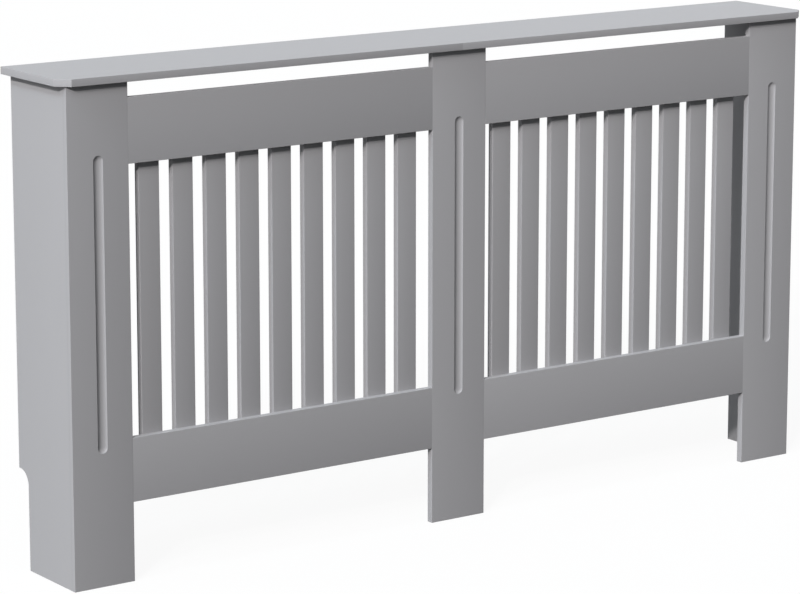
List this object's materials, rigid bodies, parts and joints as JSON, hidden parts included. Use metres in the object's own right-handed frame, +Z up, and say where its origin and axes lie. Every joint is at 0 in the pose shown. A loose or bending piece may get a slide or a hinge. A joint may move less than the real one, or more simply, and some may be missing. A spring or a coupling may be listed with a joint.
{
  "type": "radiator cover cabinet",
  "caption": "Slatted board cabinet that stands over a wall radiator, with a shelf on top, grooved stiles, skirting notches and wall brackets.",
  "frame": {"origin": "on the floor, under the middle of the shelf's width and depth", "axes": "+Z up, the slatted front faces -Y, the wall is on the +Y side, and +X runs along the wall to the right of someone facing the front"},
  "size_m": [1.52, 0.19, 0.815],
  "materials": {
    "painted_board": "satin grey paint on fibreboard",
    "dowel_wood": "plain beech",
    "zinc_plated_steel": "bright zinc plate",
    "cast_zinc": "as cast"
  },
  "bodies": {
    "root": {"bottom_rail_left": "painted_board", "bottom_rail_right": "painted_board", "cam_bolts": "zinc_plated_steel", "cam_discs": "cast_zinc", "corner_braces": "zinc_plated_steel", "end_panel_left": "painted_board", "end_panel_right": "painted_board", "long_dowels": "dowel_wood", "rail_joining_plates": "zinc_plated_steel", "screws": "zinc_plated_steel", "shelf_joining_plate": "zinc_plated_steel", "short_dowels": "dowel_wood", "slat_left_1": "painted_board", "slat_left_2": "painted_board", "slat_left_3": "painted_board", "slat_left_4": "painted_board", "slat_left_5": "painted_board", "slat_left_6": "painted_board", "slat_left_7": "painted_board", "slat_left_8": "painted_board", "slat_left_9": "painted_board", "slat_right_1": "painted_board", "slat_right_2": "painted_board", "slat_right_3": "painted_board", "slat_right_4": "painted_board", "slat_right_5": "painted_board", "slat_right_6": "painted_board", "slat_right_7": "painted_board", "slat_right_8": "painted_board", "slat_right_9": "painted_board", "slat_staples": "zinc_plated_steel", "stile_centre": "painted_board", "stile_left": "painted_board", "stile_right": "painted_board", "top_rail_left": "painted_board", "top_rail_right": "painted_board", "top_shelf_left": "painted_board", "top_shelf_right": "painted_board", "wall_bracket_left": "zinc_plated_steel", "wall_bracket_right": "zinc_plated_steel"}
  },
  "joints": []
}
